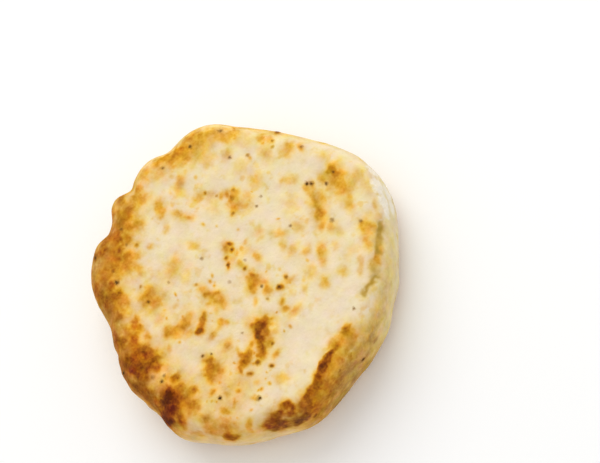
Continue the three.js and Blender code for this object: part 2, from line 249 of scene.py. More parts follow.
    (-24.0, -17.0, 6.0, 4.0, 30, 0.31), (-10.0, -20.0, 5.0, 4.0, 0, 0.28),
    (21.4, -17.0, 1.4, 1.2, 0, 0.34), (28.6, -26.8, 2.2, 1.0, 40, 0.50),
    (30.0, -20.8, 2.8, 1.4, 60, 0.46), (28.0, -23.4, 2.4, 1.4, 55, 0.44),
    (-22.0, 0.0, 5.0, 3.0, 0, 0.24), (4.2, 0.6, 2.8, 1.6, 20, 0.30),
    (20.6, 18.2, 2.8, 2.0, 0, 0.27), (23.0, -21.6, 2.4, 1.5, 0, 0.26),
    (-21.8, -3.8, 1.8, 1.2, 0, 0.44),
]
# Where the face stayed palest: (x, y, half length, half width, turn).
PALE_PLACES = [
    (-26.8, -9.0, 6.0, 3.2, 0), (-7.4, -11.6, 2.6, 2.2, 0),
    (14.6, -26.0, 6.5, 4.0, 20), (0.0, -28.0, 9.0, 5.0, 0),
    (-10.0, 17.4, 5.0, 2.4, 0), (-3.6, 14.6, 2.6, 1.8, 0),
    (3.0, 10.0, 3.0, 3.0, 0), (17.0, 1.6, 3.6, 3.2, 0),
    (-16.6, 5.0, 2.0, 3.0, 0), (-7.3, 0.8, 2.4, 5.0, 10),
    (-13.4, -16.2, 2.0, 1.6, 0), (21.0, -18.0, 3.4, 2.6, 0),
    (26.0, 20.0, 3.0, 2.4, 0), (30.6, 4.6, 4.0, 3.0, 0),
    (-17.2, -29.6, 3.0, 2.2, 0), (-1.4, 31.4, 2.6, 1.8, 0),
    (-3.6, -4.8, 1.8, 1.8, 0),
]
# Scorched specks, where a bran flake or a bubble of the dough burnt: (x, y, radius, how dark).
SPECKS = [
    (-25.6, 21.8, 0.75, 0.9), (-24.1, 24.8, 0.5, 0.5), (-24.8, 32.0, 0.7, 0.7),
    (-14.2, 31.7, 0.55, 0.6), (-16.3, 27.4, 0.45, 0.45), (-41.8, 3.2, 0.7, 0.9),
    (-23.4, 11.1, 0.5, 0.6), (-5.0, 8.3, 0.5, 0.5), (-15.8, 10.7, 0.4, 0.35),
    (-36.9, -5.0, 0.6, 0.45), (-36.0, -7.7, 0.6, 0.7), (-34.5, -7.1, 0.5, 0.55),
    (-28.4, -22.8, 0.65, 1.0), (-21.2, -30.9, 0.75, 0.9), (-23.7, -11.0, 0.55, 0.75),
    (-21.6, -12.4, 0.45, 0.75), (-12.0, -14.7, 0.42, 0.5), (-14.9, -23.9, 0.7, 0.4),
    (-12.9, -27.2, 0.55, 0.55), (-8.5, -23.1, 0.5, 0.4), (0.6, -9.8, 0.5, 0.6),
    (3.6, -13.6, 0.65, 0.7), (6.8, -13.1, 0.5, 0.5), (-0.8, -13.3, 0.4, 0.35),
    (12.6, -33.1, 0.5, 0.8), (17.5, -4.0, 0.5, 0.6), (28.9, 0.9, 0.62, 1.0),
    (29.7, -0.1, 0.62, 1.0), (26.1, -11.6, 0.65, 0.5), (35.8, -2.5, 0.55, 0.75),
    (32.3, -3.3, 0.6, 0.75), (31.0, -17.7, 0.5, 0.55), (15.2, 33.6, 0.7, 0.75),
    (5.8, 35.4, 0.55, 0.7), (24.0, 30.1, 0.8, 0.65), (20.3, 22.6, 0.5, 0.65),
    (35.4, 9.3, 0.55, 0.6), (18.2, 8.2, 0.45, 0.5), (15.4, 7.1, 0.45, 0.6),
    (23.9, 19.1, 0.5, 0.4), (30.2, 15.2, 0.45, 0.4), (31.4, 16.7, 0.5, 0.45),
    (34.4, 18.9, 0.6, 0.7), (3.0, 5.6, 0.5, 0.6), (2.3, 3.8, 0.5, 0.65),
    (-0.4, 3.3, 0.45, 0.6), (-1.4, 1.5, 0.5, 0.7), (12.4, 13.8, 0.5, 0.5),
    (14.4, 15.3, 0.45, 0.45), (9.6, 10.7, 0.45, 0.4), (-4.5, -2.2, 0.5, 0.35),
    (2.6, -1.1, 0.5, 0.35), (1.0, -2.8, 0.45, 0.45), (-19.3, -5.7, 0.6, 0.5),
    (8.7, 20.9, 0.4, 0.4), (10.1, 17.9, 0.35, 0.35), (-10.0, -18.9, 0.7, 0.5),
    (-14.4, 25.3, 0.4, 0.3), (-21.9, 15.8, 0.4, 0.3), (-11.1, 4.3, 0.4, 0.3),
]
# The same on the side, which need a height too: (x, y, z, radius, how dark).
SIDE_SPECKS = [
    (4.6, -42.0, 13.1, 0.75, 1.0), (1.3, -42.4, 15.0, 0.4, 0.5), (-14.8, -43.2, 14.1, 0.5, 0.5),
    (-1.6, -41.1, 18.2, 0.4, 0.4),
]

# Where crumbs of brown lie thickest: (x, y, reach, share of them kept there). They are scattered
# over a square field round the middle of the face.
CRUMB_AREAS = [
    (-22, -24, 10, 0.8),
    (-8, -20, 8, 0.4),
    (-16, -4, 12, 0.3),
    (6, 0, 18, 0.12),
    (14, 22, 14, 0.12),
]
CRUMB_SPOTS = 900
CRUMB_SEED = 7
CRUMB_FIELD = 42  # half its width
CRUMB_HALF_LENGTHS = (0.3, 0.6)
CRUMB_SLIMNESS = (0.5, 0.95)
CRUMB_BROWNS = (0.3, 0.62)

# The base's spots are scattered too, over a round field. Large and brown ones are rare.
BASE_SPOTS = 230
BASE_SEED = 3
BASE_FIELD = 38  # its radius
SMALLEST_BASE_SPOT = 0.6
BASE_SPOT_GROWTH = 4.6
BASE_SLIMNESS = (0.45, 0.9)
PALEST_BASE_SPOT = 0.28
BASE_SPOT_BROWNING = 0.6

# The rim browned in a band, which runs over the shoulder and down the side. Each row is a
# direction, how brown the band is, how far it reaches in over the face, how brown the side is,
# how much painted shade darkens the side where it is turned from the lamp, and how golden the
# shoulder is, from 0 to 1.
RIM_BAND_COLUMNS = ("direction", "brown", "reach", "side", "painted_shade", "golden")
RIM_BAND = [
    (10, 0.16, 3.0, 0.14, 0.0, 0.4),
    (25, 0.38, 3.0, 0.30, 0.0, 0.6),
    (40, 0.40, 3.0, 0.36, 0.0, 0.6),
    (60, 0.38, 3.5, 0.36, 0.0, 0.6),
    (80, 0.42, 4.0, 0.34, 0.0, 0.5),
    (95, 0.50, 4.5, 0.38, 0.0, 0.3),
    (112, 0.60, 6.0, 0.42, 0.0, 0.0),
    (128, 0.54, 7.0, 0.42, 0.0, 0.0),
    (150, 0.52, 7.0, 0.39, 0.0, 0.0),
    (168, 0.68, 7.5, 0.46, 0.0, 0.0),
    (186, 0.70, 7.5, 0.48, 0.0, 0.0),
    (198, 0.66, 7.0, 0.46, 0.0, 0.0),
    (207, 0.36, 4.0, 0.36, 0.0, 0.5),
    (214, 0.28, 3.0, 0.32, 0.0, 0.9),
    (229, 0.28, 3.0, 0.33, 0.0, 0.9),
    (238, 0.42, 4.0, 0.46, 0.2, 0.2),
    (250, 0.54, 3.0, 0.60, 0.6, 0.0),
    (262, 0.48, 2.4, 0.63, 1.0, 0.0),
    (274, 0.42, 2.0, 0.62, 1.0, 0.0),
    (284, 0.30, 1.8, 0.54, 1.0, 0.0),
    (296, 0.18, 1.5, 0.39, 1.0, 0.0),
    (312, 0.14, 1.5, 0.28, 1.0, 0.0),
    (335, 0.12, 1.5, 0.13, 0.6, 0.0),
    (352, 0.12, 2.0, 0.13, 0.0, 0.2),
]

# The dough tore a little where the side pulled away from the face: how open each stretch of this
# crease is and the line that it follows, which set its groove and the shade painted along it, and
# the flour that clings to the side beyond its end, as balls (x, y, z, reach).
CREASE = [
    (1.0, [(34.2, -21.9), (32.2, -23.1), (30.3, -24.6), (28.5, -26.3), (25.8, -28.6)]),
    (0.7, [(25.8, -28.6), (22.6, -31.2)]),
    (1.0, [(22.6, -31.2), (20.0, -32.0), (17.7, -31.9)]),
]
CREASE_WIDTH = 1.2
CREASE_DEPTH = 0.35
FLOUR = [
    (41.0, -13.5, 18.5, 3.2), (39.0, -17.5, 17.5, 3.0), (43.2, -9.0, 16.5, 3.0),
    (41.8, -15.2, 14.0, 3.2), (37.5, -20.3, 17.0, 2.4), (39.5, -18.5, 13.0, 2.8),
]

# Where the edge folded in more sharply, or stands out more, than the dough's lobes do: each is
# (direction, half width in degrees, how far it stands out in mm).
EDGE_FOLDS = [
    (167.0, 2.6, -0.65), (174.3, 1.9, 0.3), (188.8, 2.2, 0.3), (111.5, 3.5, -0.4),
    (96.5, 2.5, -0.5), (121.5, 3.0, 0.4), (101.5, 2.5, 0.3), (300.0, 5.0, -0.4),
    (270.5, 5.0, -0.42), (235.0, 3.0, -0.2),
]

# ---------------------------------------------------------------- colours
# As they look in even white light, but for the crease's, which is painted shade, in 0 to 255 steps
# of red, green and blue.
PALE_CRUST = [
    (0.00, (233, 216, 189)),
    (0.12, (231, 209, 165)),
    (0.20, (231, 202, 145)),
    (0.28, (229, 194, 126)),
]
FACE_BROWNS = [
    (0.36, (227, 185, 104)),
    (0.44, (225, 174, 82)),
    (0.52, (218, 161, 60)),
    (0.60, (207, 146, 41)),
    (0.68, (193, 128, 28)),
    (0.76, (184, 114, 23)),
    (0.84, (164, 95, 19)),
    (0.92, (144, 77, 15)),
    (1.00, (123, 62, 13)),
    (1.10, (98, 45, 12)),
]
RIM_BROWNS = [
    (0.36, (221, 179, 104)),
    (0.44, (210, 163, 81)),
    (0.52, (197, 146, 63)),
    (0.60, (186, 129, 48)),
    (0.68, (174, 114, 35)),
    (0.76, (163, 100, 23)),
    (0.84, (147, 85, 19)),
    (0.92, (128, 67, 19)),
    (1.00, (113, 56, 23)),
    (1.10, (94, 42, 21)),
]
SPECK_COLOURS = ((142, 94, 30), (34, 22, 12))
FLOUR_COLOUR = (242, 234, 219)
# Painted shade: the dull greenish brown that stands for the shade in the crease's groove.
CREASE_SHADE_COLOUR = (154, 124, 42)
FLOOR_COLOUR = (250, 250, 249)


def colour(red, green, blue):
    """A colour as the eye sees it, as the linear light that a shader works in.

    It follows the usual curve of screen colours.
    """
    light = []
    for step in (red, green, blue):
        part = step / 255
        light.append(part / 12.92 if part <= 0.04045 else ((part + 0.055) / 1.055) ** 2.4)
    return (*light, 1.0)


# ---------------------------------------------------------------- the muffin's surface
MERGE_DISTANCE = 0.001 * MM
CUTS = 3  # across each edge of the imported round
SMOOTHING = 0.5
SMOOTHING_PASSES = 6
SEED_STEPS = (17.3, 5.1, 29.7)  # how far apart the noises of two seeds lie
RIM_STEPS = 360  # directions in which the rim's distance from the middle is found

# Over which heights, as shares of the muffin's, its upper and its lower part come in.
ABOVE_HEIGHTS = (0.35, 0.6)
BELOW_HEIGHTS = (0.3, 0.1)
STEEPNESS = (0.1, 0.75)  # over which the side comes in: 0 lies flat and 1 stands upright

# The edges of browned places stray by noise: how far in mm, the size of its bumps in mm, and its
# seeds along x and along y.
STRAYS = [
    (1.0, 3.2, 1, 3),
    (0.8, 1.5, 2, 4),
    (0.5, 0.9, 7, 8),
]
# How much of that the base's ring, the streaks and crease, and the side's spots stray.
BASE_STRAY = 1.2
LINE_STRAY = 0.7
SIDE_STRAY = 0.6

# Noise over the crust: the size of its bumps in mm, and its seed.
SWELLS = (5.0, 5)
PIMPLES = (1.8, 6)
FLOUR_LUMPS = (1.1, 9)
SIDE_STREAKS = (7.0, 10)
BASE_PATCHES = (9.0, 12)
STREAK_PATCHES = (2.6, 13)
STREAK_STRETCH = (1.0, 1.0, 3.0)  # makes the side's streaks run along it


def fine_copy(cad):
    """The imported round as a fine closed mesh, with its facets smoothed out."""
    bm = bmesh.new()
    bm.from_mesh(cad.data)
    bmesh.ops.remove_doubles(bm, verts=bm.verts, dist=MERGE_DISTANCE)
    bmesh.ops.subdivide_edges(bm, edges=bm.edges, cuts=CUTS, use_grid_fill=True)
    axes = {"use_axis_x": True, "use_axis_y": True, "use_axis_z": True}
    for _ in range(SMOOTHING_PASSES):
        bmesh.ops.smooth_vert(bm, verts=bm.verts, factor=SMOOTHING, **axes)
    return bm


def smooth_step(low, high, value):
    """From 0 at low to 1 at high, eased at both ends."""
    share = np.clip((value - low) / (high - low), 0, 1)
    return share * share * (3 - 2 * share)


def noise_field(points, size, seed):
    """Even noise between about -1 and 1 with bumps of the given size, at each point."""
    shift = Vector([seed * step for step in SEED_STEPS])
    return np.array([noise.noise(Vector(p) / size + shift) for p in points])


def vertex_vectors(mesh, name):
    """One of the vectors that a mesh keeps for its vertices, a row for each vertex."""
    numbers = np.empty(len(mesh.vertices) * 3)
    mesh.vertices.foreach_get(name, numbers)
    return numbers.reshape(-1, 3)


def rim_radius(direction, radius):
    """How far the rim lies from the middle, in the direction of each vertex."""
    step = (direction / 360 * RIM_STEPS).astype(int) % RIM_STEPS
    furthest = np.zeros(RIM_STEPS)
    np.maximum.at(furthest, step, radius)
    middles = (np.arange(RIM_STEPS) + 0.5) * 360 / RIM_STEPS
    return np.interp(direction, middles, furthest, period=360)


def away_from(points, place):
    """How far each point lies from a place."""
    return np.linalg.norm(points - np.array(place), axis=1)


class Surface:
    """The vertices of the round: where each lies, which way it faces and what it is part of."""

    def __init__(self, mesh):
        self.place = vertex_vectors(mesh, "co")
        self.facing = vertex_vectors(mesh, "normal")
        self.points = self.place / MM
        self.x, self.y, self.z = self.points.T
        self.top = self.z.max()
        self.direction = np.degrees(np.arctan2(self.y, self.x)) % 360
        radius = np.hypot(self.x, self.y)
        self.inside = rim_radius(self.direction, radius) - radius
        self.stray_x = sum(
            far * noise_field(self.points, size, seed) for far, size, seed, _ in STRAYS
        )
        self.stray_y = sum(
            far * noise_field(self.points, size, seed) for far, size, _, seed in STRAYS
        )
        self.over_face = self.inside + self.stray_x
        self.over_base = self.inside + BASE_STRAY * self.stray_y
        self.above = smooth_step(*ABOVE_HEIGHTS, self.z / self.top)
        self.below = smooth_step(*BELOW_HEIGHTS, self.z / self.top)
        self.upright = smooth_step(*STEEPNESS, 1 - np.abs(self.facing[:, 2]))
        self.streaks = noise_field(self.points * STREAK_STRETCH, *SIDE_STREAKS)

    def band(self, column):
        """A column of RIM_BAND, in the direction of each vertex."""
        columns = dict(zip(RIM_BAND_COLUMNS, np.array(RIM_BAND).T))
        return np.interp(self.direction, columns["direction"], columns[column], period=360)

    def away_from_line(self, line, stray=LINE_STRAY):
        """How far each vertex lies from a line of straight stretches, as seen from above."""
        x = self.x + stray * self.stray_x
        y = self.y + stray * self.stray_y
        nearest = np.full(len(x), np.inf)
        for (x0, y0), (x1, y1) in zip(line, line[1:]):
            step_x, step_y = x1 - x0, y1 - y0
            share = ((x - x0) * step_x + (y - y0) * step_y) / (step_x**2 + step_y**2)
            share = np.clip(share, 0, 1)
            away = np.hypot(x - x0 - share * step_x, y - y0 - share * step_y)
            nearest = np.minimum(nearest, away)
        return nearest


# ---------------------------------------------------------------- how the crust browned, and where shade is painted on it
# Each edge here is a power: the higher, the sharper.
BLEND_SHARPNESS = 6  # the higher, the less that two layers add up where they meet
SPOT_EDGE = 3.6
HALO = 0.35  # the share of a spot's brown that lies in its soft halo
HALO_REACH = 1.9  # as a multiple of the spot's own
HALO_EDGE = 3
LOOSE_WIDTH = 2  # a spot of at least this half width strays as far as the noise does

STREAK_EDGE = 6
STREAK_PATCHINESS = 0.25
SIDE_SPOT_EDGE = 6
RIM_BAND_EDGE = 3
RIM_BAND_HEIGHTS = (0.5, 0.85)  # as shares of the muffin's
CREASE_TOAST = 0.4  # how brown the crease is where it is widest open

# The side is streaky, a little paler low down, and palest round its waist, but for its brownest
# stretches. Heights are shares of the muffin's.
SIDE_STREAKINESS = 0.1
LOW_HEIGHTS = (0.8, 0.45)
LOW_PALENESS = 0.09
WAIST_HEIGHT = 0.40
WAIST_HALF_WIDTH = 0.22
WAIST_PALENESS = 0.45
WAIST_BROWNS = (0.62, 0.46)

# The ring that browned round the base.
BASE_RING_BROWN = 0.52
BASE_RING_PATCHINESS = 0.3
BASE_RING_REACH = 6
BASE_RING_EDGE = 3

# Where the browns are golden, as on the faces, and not dull, as on the rim.
GOLDEN_FACE = (0.5, 1.4)  # inside the rim, in reaches of its band
GOLDEN_BASE = (1.0, 6.0)  # inside the base's rim, in mm
GOLDEN_LINE_WIDTH = 2.2

FLOUR_THINNING = (0.4, 1.3)  # from a lump's middle, in reaches of it
SPECK_SLOPE = 0.4  # how much the mark of a speck falls from its middle to its edge
OUT_OF_REACH = 99  # mm, which keeps the specks of the face off the base


def blended(layers):
    """Several layers as one, each as strong as it is alone and a bit more where they meet."""
    return sum(layer**BLEND_SHARPNESS for layer in layers) ** (1 / BLEND_SHARPNESS)


def spot_layers(surface, spots):
    """How brown each spot leaves each vertex: full inside, with a soft golden halo."""
    for at_x, at_y, half_length, half_width, turn, how_brown in spots:
        loose = min(1, half_width / LOOSE_WIDTH)
        away_x = surface.x + loose * surface.stray_x - at_x
        away_y = surface.y + loose * surface.stray_y - at_y
        c, s = math.cos(math.radians(turn)), math.sin(math.radians(turn))
        along, across = away_x * c + away_y * s, away_y * c - away_x * s
        reach = np.hypot(along / half_length, across / half_width)
        core = 1 + reach**SPOT_EDGE
        halo = 1 + (reach / HALO_REACH) ** HALO_EDGE
        yield how_brown * ((1 - HALO) / core + HALO / halo)


def crumb_spots():
    """Small spots scattered over the face, most of them where it browned most."""
    chance = random.Random(CRUMB_SEED)
    for _ in range(CRUMB_SPOTS):
        at_x = chance.uniform(-CRUMB_FIELD, CRUMB_FIELD)
        at_y = chance.uniform(-CRUMB_FIELD, CRUMB_FIELD)
        wanted = any(
            math.hypot(at_x - x, at_y - y) < reach and chance.random() < share
            for x, y, reach, share in CRUMB_AREAS
        )
        half_length = chance.uniform(*CRUMB_HALF_LENGTHS)
        half_width = half_length * chance.uniform(*CRUMB_SLIMNESS)
        turn = chance.uniform(0, 180)
        how_brown = chance.uniform(*CRUMB_BROWNS)
        if wanted:
            yield at_x, at_y, half_length, half_width, turn, how_brown


def base_spots():
    """Spots scattered over the base, which lay on the griddle too: most are small and golden."""
    chance = random.Random(BASE_SEED)
    for _ in range(BASE_SPOTS):
        radius = BASE_FIELD * math.sqrt(chance.random())
        around = chance.uniform(0, 2 * math.pi)
        half_length = SMALLEST_BASE_SPOT + BASE_SPOT_GROWTH * chance.random() ** 3
        half_width = half_length * chance.uniform(*BASE_SLIMNESS)
        turn = chance.uniform(0, 180)
        how_brown = PALEST_BASE_SPOT + BASE_SPOT_BROWNING * chance.random() ** 2
        at_x, at_y = radius * math.cos(around), radius * math.sin(around)
        yield at_x, at_y, half_length, half_width, turn, how_brown


def face_layers(surface):
    """What browned the upper face: its spots, then the streaks along the crest of its rim."""
    spots = [*RIM_SPOTS, *CREST_SPOTS, *FACE_SPOTS, *crumb_spots()]
    for layer in spot_layers(surface, spots):
        yield layer * surface.above
    patchy = 1 + STREAK_PATCHINESS * noise_field(surface.points, *STREAK_PATCHES)
    for how_brown, half_width, line in STREAKS:
        reach = surface.away_from_line(line) / half_width
        yield how_brown * patchy * surface.above / (1 + reach**STREAK_EDGE)


def side_spot_layers(surface):
    """What browned the side in single places."""
    stray = np.stack([surface.stray_x, surface.stray_y, surface.stray_x], axis=1)
    strayed = surface.points + SIDE_STRAY * stray
    for *place, radius, how_brown in SIDE_SPOTS:
        reach = away_from(strayed, place) / radius
        yield how_brown / (1 + reach**SIDE_SPOT_EDGE)


def rim_band(surface):
    """How brown the band along the upper rim is, as far as it runs in and down."""
    reach = np.clip(surface.over_face / surface.band("reach"), 0, None)
    height = (surface.z + surface.stray_y) / surface.top
    band = surface.band("brown") / (1 + reach**RIM_BAND_EDGE)
    return band * smooth_step(*RIM_BAND_HEIGHTS, height)


def side_tone(surface):
    """How brown the side is all over."""
    side = surface.band("side")
    from_waist = (surface.z + surface.stray_x) / surface.top - WAIST_HEIGHT
    waist = np.exp(-((from_waist / WAIST_HALF_WIDTH) ** 2)) * smooth_step(*WAIST_BROWNS, side)
    tone = side * surface.upright * (1 + SIDE_STREAKINESS * surface.streaks)
    tone *= 1 - WAIST_PALENESS * waist
    return tone * (1 - LOW_PALENESS * smooth_step(*LOW_HEIGHTS, surface.z / surface.top))


def base_ring(surface):
    """How brown the base is near its rim."""
    patchy = 1 + BASE_RING_PATCHINESS * noise_field(surface.points, *BASE_PATCHES)
    reach = np.clip(surface.over_base / BASE_RING_REACH, 0, None)
    return BASE_RING_BROWN * surface.below * patchy / (1 + reach**BASE_RING_EDGE)


def torn_crease(surface):
    """How far the crease is torn open at each vertex."""
    torn = np.zeros(len(surface.points))
    for how_open, line in CREASE:
        across = surface.away_from_line(line) / CREASE_WIDTH
        torn = np.maximum(torn, how_open * np.exp(-(across**2)) * surface.above)
    return torn


def toasted(surface, torn):
    """How brown each vertex is, with all that browned it."""
    base = (layer * surface.below for layer in spot_layers(surface, base_spots()))
    return blended([
        *face_layers(surface),
        *side_spot_layers(surface),
        *base,
        rim_band(surface),
        side_tone(surface),
        base_ring(surface),
        CREASE_TOAST * torn,
    ])


def golden_places(surface):
    """Where the browns are golden, from 0 to 1."""
    golden = smooth_step(*GOLDEN_FACE, surface.over_face / surface.band("reach"))
    across_line = surface.away_from_line(ORANGE_LINE, stray=0) / GOLDEN_LINE_WIDTH
    golden = np.maximum(golden, np.exp(-(across_line**2)))
    golden = np.maximum(golden, surface.band("golden")) * surface.above
    on_base = smooth_step(*GOLDEN_BASE, surface.over_base) * surface.below
    return np.maximum(golden, on_base)


def scorched(surface):
    """How near each vertex is to a speck, 1 at its middle, and how dark that speck is."""
    near, dark = np.zeros(len(surface.points)), np.zeros(len(surface.points))
    underneath = OUT_OF_REACH * (surface.facing[:, 2] < 0)
    from_face = [away_from(surface.points[:, :2], speck[:2]) + underneath for speck in SPECKS]
    from_side = [away_from(surface.points, speck[:3]) for speck in SIDE_SPECKS]
    for away, speck in zip([*from_face, *from_side], [*SPECKS, *SIDE_SPECKS]):
        radius, how_dark = speck[-2:]
        cone = 1 - SPECK_SLOPE * away / radius
        dark = np.where(cone > near, how_dark, dark)
        near = np.maximum(near, cone)
    return near, dark


def floured(surface):
    """How much flour clings to each vertex."""
    from_lumps = [away_from(surface.points, lump[:3]) / lump[3] for lump in FLOUR]
    return 1 - smooth_step(*FLOUR_THINNING, np.min(from_lumps, axis=0))


def crust_marks(surface):
    """All that the crust's material reads at each vertex, by name."""
    torn = torn_crease(surface)
    golden = golden_places(surface)
    speck, speck_dark = scorched(surface)
    return {
        "toast": toasted(surface, torn),
        "golden": golden,
        # Painted shade: the side turned from the lamp is drawn darker, duller and greener, less
        # where it is golden.
        "painted_shade": surface.band("painted_shade") * surface.upright * (1 - golden),
        "pale": blended(spot_layers(surface, [(*spot, 1.0) for spot in PALE_PLACES])),
        "speck": speck,
        "speck_dark": speck_dark,
        "flour": floured(surface),
        "torn": torn,
    }


# ---------------------------------------------------------------- the muffin's form
# The relief of the crust, in mm. Its browned places rose as blisters, so all of it is lowered a
# little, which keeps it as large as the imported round.
SWELL_HEIGHT = 0.12
PIMPLE_HEIGHT = 0.06
BLISTER_HEIGHT = 0.10
BLISTER_BROWNS = (0.3, 0.7)
LOWERING = 0.08
FLOUR_HEIGHT = 0.3
STREAK_HEIGHT = 0.07
FOLD_REACH = (9, 3)  # inside the rim: where a fold of the edge has died out, and where it is full


def crust_relief(surface, marks):
    """How far the crust stands out at each vertex, in mm."""
    rise = SWELL_HEIGHT * noise_field(surface.points, *SWELLS)
    rise += PIMPLE_HEIGHT * noise_field(surface.points, *PIMPLES)
    rise += BLISTER_HEIGHT * smooth_step(*BLISTER_BROWNS, marks["toast"]) - LOWERING
    rise -= CREASE_DEPTH * marks["torn"]
    lumpy = FLOUR_HEIGHT * marks["flour"] * noise_field(surface.points, *FLOUR_LUMPS)
    return rise + lumpy + STREAK_HEIGHT * surface.upright * surface.streaks


def edge_folding(surface):
    """How far the folds of the edge move each vertex outwards, in mm."""
    fold = np.zeros(len(surface.points))
    for at, half_width, out in EDGE_FOLDS:
        apart = (surface.direction - at + 180) % 360 - 180
        fold += out * np.exp(-((apart / half_width) ** 2))
    return fold * smooth_step(*FOLD_REACH, surface.inside)


def muffin_piece(cad):
    """The whole crust, with what its material reads kept on its vertices."""
    mesh = bpy.data.meshes.new("muffin_crust")
    bm = fine_copy(cad)
    bm.to_mesh(mesh)
    bm.free()

    surface = Surface(mesh)
    marks = crust_marks(surface)
    for name, values in marks.items():
        layer = mesh.attributes.new(name, "FLOAT", "POINT")
        layer.data.foreach_set("value", values.astype(np.float32))

    around = np.radians(surface.direction)
    outward = np.stack([np.cos(around), np.sin(around)], axis=1)
    shaped = surface.place + surface.facing * (crust_relief(surface, marks) * MM)[:, None]
    shaped[:, :2] += outward * (edge_folding(surface) * MM)[:, None]
    shaped[:, 2] = np.maximum(shaped[:, 2], 0)
    mesh.vertices.foreach_set("co", shaped.ravel())
    mesh.shade_smooth()
    mesh.update()

    piece = bpy.data.objects.new("muffin_crust", mesh)
    bpy.context.scene.collection.objects.link(piece)
    return piece


# ---------------------------------------------------------------- the crust's material
CRUST_ROUGHNESS = 0.8
CRUST_SPECULAR = 0.05
BUMP_STRENGTH = 0.45
BUMP_DISTANCE = 0.15 * MM

# The crust's grains: the size of their bumps in mm, how much finer detail is in them, and a seed.
SLOW_GRAIN = (9, 1.0, 0.0)
COARSE_GRAIN = (3.6, 1.0, 0.0)
MIDDLE_GRAIN = (1.5, 1.0, 0.0)
FINE_GRAIN = (0.7, 1.0, 0.0)
LIGHTNESS_GRAIN = (3.6, 1.0, 4.0)
HUE_GRAIN = (3.4, 2.5, 9.0)
BUTTER_GRAIN = (2.6, 2.0, 11.0)
DUST_GRAIN = (1.1, 3.0, 2.0)

# A cover is where something starts, where it is full and, unless that is 1, how much it is then.
# Any other pair is a slope and a start: how much of a value counts, and what is added to it.

# How much the grains change the browned places, as shares of how brown they are.
FINE_ROUGHNESS = 0.18
MIDDLE_ROUGHNESS = 0.2
COARSE_TOAST = (0.16, 1.0)

# The shade of the ground between the browned places, and how softly the two meet.
SLOW_GROUND = (0.08, 0.07)
BLOTCH_MIDDLE = 0.5
BLOTCH_COVER = (0.0, 0.5, 0.2)
ROUGH_GROUND = 0.13
PALE_GROUND = (-0.75, 1.1)
SHADE_BLEND = 0.12

# How far the colour strays from that of its shade. Browner places stray further.
LIGHTNESS_SPREAD = (0.7, 0.05)
ROUGH_DARKENING = 0.15
HUE_ALONG_X = (0.1, 0.5)  # the slope is for a metre, and 0.5 leaves a hue as it is
HUE_SPREAD = 0.03
BUTTER_SPREAD = (1.8, 0.1)
LEAST_BLUE = 0.15

# How the shade painted on the side turned from the lamp darkens, greens and dulls its colour.
PAINTED_SHADE_DARKENING = 0.055
PAINTED_SHADE_GREENING = 0.009
PAINTED_SHADE_DULLING = 0.075

# The shade painted in the crease, the flour and the specks.
CREASE_SHADE_COVER = (0.0, 1.25, 0.88)
CREASE_SHADE_PATCHES = (0.8, 0.75)
FLOUR_COVER = (0.25, 1.15, 0.85)
DUSTING = 0.6
SPECK_ROUGHNESS = 0.25
RING_COVER = (0.35, 0.85)
RING_DARKNESS = (0.6, 0.25)
CORE_COVER = (0.66, 0.96)
BLACK_COVER = (0.3, 0.95)

# The places of a Mix node's sockets for colours.
MIX_SHARE, MIX_FIRST, MIX_SECOND, MIX_RESULT = 0, 6, 7, 2


class CrustNodes:
    """The nodes of a material, with a short way to add each kind that the crust needs."""

    def __init__(self, material):
        material.use_nodes = True
        self.tree = material.node_tree
        self.shader = self.tree.nodes["Principled BSDF"]
        self.place = self.tree.nodes.new("ShaderNodeTexCoord").outputs["Object"]

    def fill(self, node, inputs):
        """Put a constant, or another node's output, into each of a node's named inputs."""
        for name, value in inputs.items():
            if isinstance(value, (int, float, tuple)):
                node.inputs[name].default_value = value
            else:
                self.tree.links.new(value, node.inputs[name])

    def add(self, kind, **inputs):
        """A new node of a kind, with its inputs filled."""
        node = self.tree.nodes.new(kind)
        self.fill(node, inputs)
        return node

    def mark(self, name):
        """One of the marks that the mesh keeps on its vertices."""
        node = self.add("ShaderNodeAttribute")
        node.attribute_name = name
        return node.outputs["Fac"]

    def maths(self, operation, *values):
        """The outcome of one sum."""
        node = self.add("ShaderNodeMath")
        node.operation = operation
        self.fill(node, dict(enumerate(values)))
        return node.outputs[0]

    def product(self, first, second):
        """Two values multiplied."""
        return self.maths("MULTIPLY", first, second)

    def line(self, value, slope, start):
        """A value multiplied by slope, with start added."""
        return self.maths("MULTIPLY_ADD", value, slope, start)

    def grain(self, size_mm, detail, seed):
        """Noise from -1 to 1, with bumps of the given size."""
        node = self.add("ShaderNodeTexNoise")
        node.noise_dimensions = "4D"
        scale = 1 / (size_mm * MM)
        self.fill(node, {"Vector": self.place, "W": seed, "Scale": scale, "Detail": detail})
        return self.line(node.outputs["Fac"], 2.0, -1.0)

    def stepped(self, value, low, high, most=1.0):
        """From 0 at low to most at high, eased at both ends."""
        node = self.add("ShaderNodeMapRange", Value=value)
        node.interpolation_type = "SMOOTHSTEP"
        self.fill(node, {"From Min": low, "From Max": high, "To Max": most})
        return node.outputs["Result"]

    def mixed(self, share, first, second):
        """Two colours mixed, with the given share of the second."""
        node = self.add("ShaderNodeMix")
        node.data_type = "RGBA"
        self.fill(node, {MIX_SHARE: share, MIX_FIRST: first, MIX_SECOND: second})
        return node.outputs[MIX_RESULT]

    def tones(self, shade, browns):
        """The colour of each shade, from the pale crust's through the given browns."""
        tones = [*PALE_CRUST, *browns]
        brownest = tones[-1][0]
        node = self.add("ShaderNodeValToRGB", Fac=self.maths("DIVIDE", shade, brownest))
        stops = node.color_ramp.elements
        for k, (level, tint) in enumerate(tones):
            stop = stops[k] if k < len(stops) else stops.new(1)
            stop.position = level / brownest
            stop.color = colour(*tint)
        return node.outputs["Color"]


